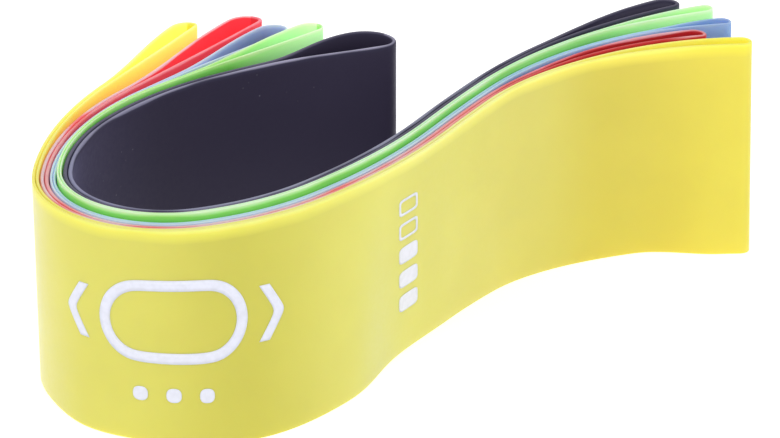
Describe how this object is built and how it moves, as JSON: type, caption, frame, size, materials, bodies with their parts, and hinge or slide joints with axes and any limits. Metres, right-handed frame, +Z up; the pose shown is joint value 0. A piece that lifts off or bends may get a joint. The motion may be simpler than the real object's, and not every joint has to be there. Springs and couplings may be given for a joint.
{
  "type": "mini loop resistance band set",
  "caption": "Set of flat latex loop bands in different strengths, stacked as thin strips, bent into one wide U and stood on edge, with soft teardrop eyes at the free ends.",
  "frame": {"origin": "below the middle of the whole set, in the plane that the bands' lower edges stand on", "axes": "+X to the right along the set's longest extent, +Y to the back, towards the open side of the U, +Z up along the bands' width"},
  "size_m": [0.1614, 0.1216, 0.0522],
  "materials": {
    "yellow_latex": "satin natural latex, extra light strength",
    "red_latex": "satin natural latex",
    "blue_latex": "satin natural latex",
    "green_latex": "satin natural latex",
    "black_latex": "satin natural latex with a little dusting powder"
  },
  "bodies": {
    "yellow": {"yellow_band": "yellow_latex"},
    "red": {"red_band": "red_latex"},
    "blue": {"blue_band": "blue_latex"},
    "green": {"green_band": "green_latex"},
    "black": {"black_band": "black_latex"}
  },
  "joints": [
    {"name": "red_lift", "type": "slide", "parent": "yellow", "child": "red", "axis": [0, 0, 1], "range_m": [0, 0.06]},
    {"name": "blue_lift", "type": "slide", "parent": "yellow", "child": "blue", "axis": [0, 0, 1], "range_m": [0, 0.06]},
    {"name": "green_lift", "type": "slide", "parent": "yellow", "child": "green", "axis": [0, 0, 1], "range_m": [0, 0.06]},
    {"name": "black_lift", "type": "slide", "parent": "yellow", "child": "black", "axis": [0, 0, 1], "range_m": [0, 0.06]}
  ]
}
